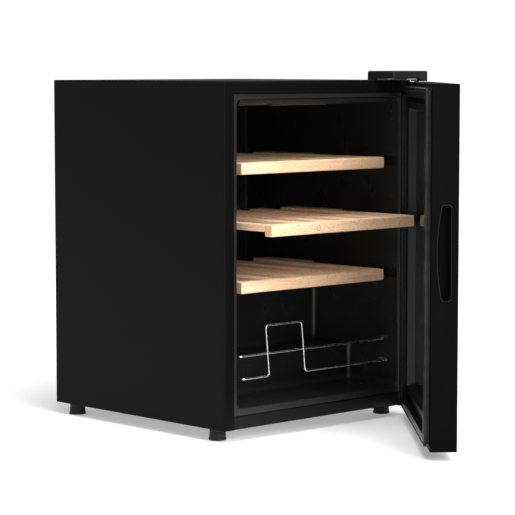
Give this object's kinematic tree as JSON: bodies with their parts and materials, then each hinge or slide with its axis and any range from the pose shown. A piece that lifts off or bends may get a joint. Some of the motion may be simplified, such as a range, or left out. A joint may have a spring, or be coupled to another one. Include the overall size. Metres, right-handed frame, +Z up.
{
  "type": "wine cooler",
  "caption": "Free-standing black wine cooler with its glass door ajar on right-hand hinges, pull-out wooden shelves, a wire bottle guard, and a machine room low at the back.",
  "frame": {"origin": "middle of the footprint of the bounding box, on the floor under the feet, with the door as stored", "axes": "+X to the right seen from the front, +Y to the back, +Z up"},
  "size_m": [0.4756, 0.8294, 0.6286],
  "materials": {
    "black_painted_steel": "satin black paint",
    "galvanised_steel": "galvanised",
    "zinc_steel": "zinc plated",
    "black_plastic": "fine-grained black",
    "liner_plastic": "satin charcoal",
    "gasket_rubber": "soft dark grey",
    "foot_rubber": "matte black",
    "dark_glass": "tinted, polished",
    "clear_plastic": "frosted clear",
    "beech": "sanded, clear oil",
    "chromed_wire": "polished",
    "insulation_foam": "raw foam",
    "copper": "drawn copper tube",
    "aluminium": "mill finish"
  },
  "bodies": {
    "cabinet": {"air_duct_panel": "liner_plastic", "base_pan": "galvanised_steel", "bottle_guard_lower_wire": "chromed_wire", "bottle_guard_upper_wire": "chromed_wire", "bottom_hinge_plate": "zinc_steel", "bottom_hinge_screw_1": "zinc_steel", "bottom_hinge_screw_2": "zinc_steel", "cabinet_wrap": "black_painted_steel", "compressor": "black_painted_steel", "compressor_deck": "galvanised_steel", "compressor_feet": "galvanised_steel", "condenser_coil": "copper", "condenser_fan_frame": "black_plastic", "control_board_box": "black_plastic", "control_housing": "liner_plastic", "discharge_pipe": "copper", "drain_tray": "black_plastic", "drain_tube": "black_plastic", "duct_fan_frame": "black_plastic", "evaporator_plate": "aluminium", "foot_rear_left": "foot_rubber", "foot_rear_right": "foot_rubber", "front_sill": "black_painted_steel", "inner_liner": "liner_plastic", "insulation_foam": "insulation_foam", "light_lens": "clear_plastic", "machine_room_cover": "black_painted_steel", "power_inlet": "black_plastic", "rear_panel": "galvanised_steel", "suction_pipe": "copper", "top_hinge_cover": "black_plastic", "top_hinge_plate": "zinc_steel", "top_hinge_screw_1": "zinc_steel", "top_hinge_screw_2": "zinc_steel", "touch_window": "dark_glass"},
    "door": {"door_bottom_bush": "black_plastic", "door_frame": "black_plastic", "door_front_glass": "dark_glass", "door_gasket": "gasket_rubber", "door_inner_frame": "black_plastic", "door_inner_glass": "dark_glass", "door_top_bush": "black_plastic", "glass_spacer": "aluminium", "grip_cup": "black_plastic"},
    "bottom_shelf": {"bottom_shelf_front_bar": "beech", "bottom_shelf_left_rail": "beech", "bottom_shelf_right_rail": "beech", "bottom_shelf_slats": "beech"},
    "middle_shelf": {"middle_shelf_front_bar": "beech", "middle_shelf_left_rail": "beech", "middle_shelf_right_rail": "beech", "middle_shelf_slats": "beech"},
    "top_shelf": {"top_shelf_front_bar": "beech", "top_shelf_left_rail": "beech", "top_shelf_right_rail": "beech", "top_shelf_slats": "beech"},
    "condenser_fan": {"condenser_fan_rotor": "black_plastic"},
    "duct_fan": {"duct_fan_rotor": "black_plastic"},
    "front_left_foot": {"foot_front_left": "foot_rubber"},
    "front_right_foot": {"foot_front_right": "foot_rubber"}
  },
  "joints": [
    {"name": "door_hinge", "type": "hinge", "parent": "cabinet", "child": "door", "pos_m": [0.20821, -0.06747, 0.312], "axis": [0, 0, 1], "range_deg": [-47.5, 67.5]},
    {"name": "middle_shelf_slide", "type": "slide", "parent": "cabinet", "child": "middle_shelf", "axis": [0, -1, 0], "range_m": [-0.0741, 0.1055]},
    {"name": "top_shelf_slide", "type": "slide", "parent": "cabinet", "child": "top_shelf", "axis": [0, -1, 0], "range_m": [0, 0.07]},
    {"name": "bottom_shelf_slide", "type": "slide", "parent": "cabinet", "child": "bottom_shelf", "axis": [0, -1, 0], "range_m": [0, 0.07]},
    {"name": "condenser_fan_spin", "type": "hinge", "parent": "cabinet", "child": "condenser_fan", "pos_m": [0.12221, 0.33973, 0.11], "axis": [0, 1, 0], "continuous": true},
    {"name": "duct_fan_spin", "type": "hinge", "parent": "cabinet", "child": "duct_fan", "pos_m": [-0.00779, 0.33023, 0.492], "axis": [0, 1, 0], "continuous": true},
    {"name": "front_left_foot_turn", "type": "hinge", "parent": "cabinet", "child": "front_left_foot", "pos_m": [-0.21279, 0.00473, 0.01], "axis": [0, 0, 1], "continuous": true},
    {"name": "front_right_foot_turn", "type": "hinge", "parent": "cabinet", "child": "front_right_foot", "pos_m": [0.19721, 0.00473, 0.01], "axis": [0, 0, 1], "continuous": true}
  ],
  "couplings": [
    {"joint": "middle_shelf_slide", "follows": "door_hinge", "m_per_rad": 0.08926}
  ]
}
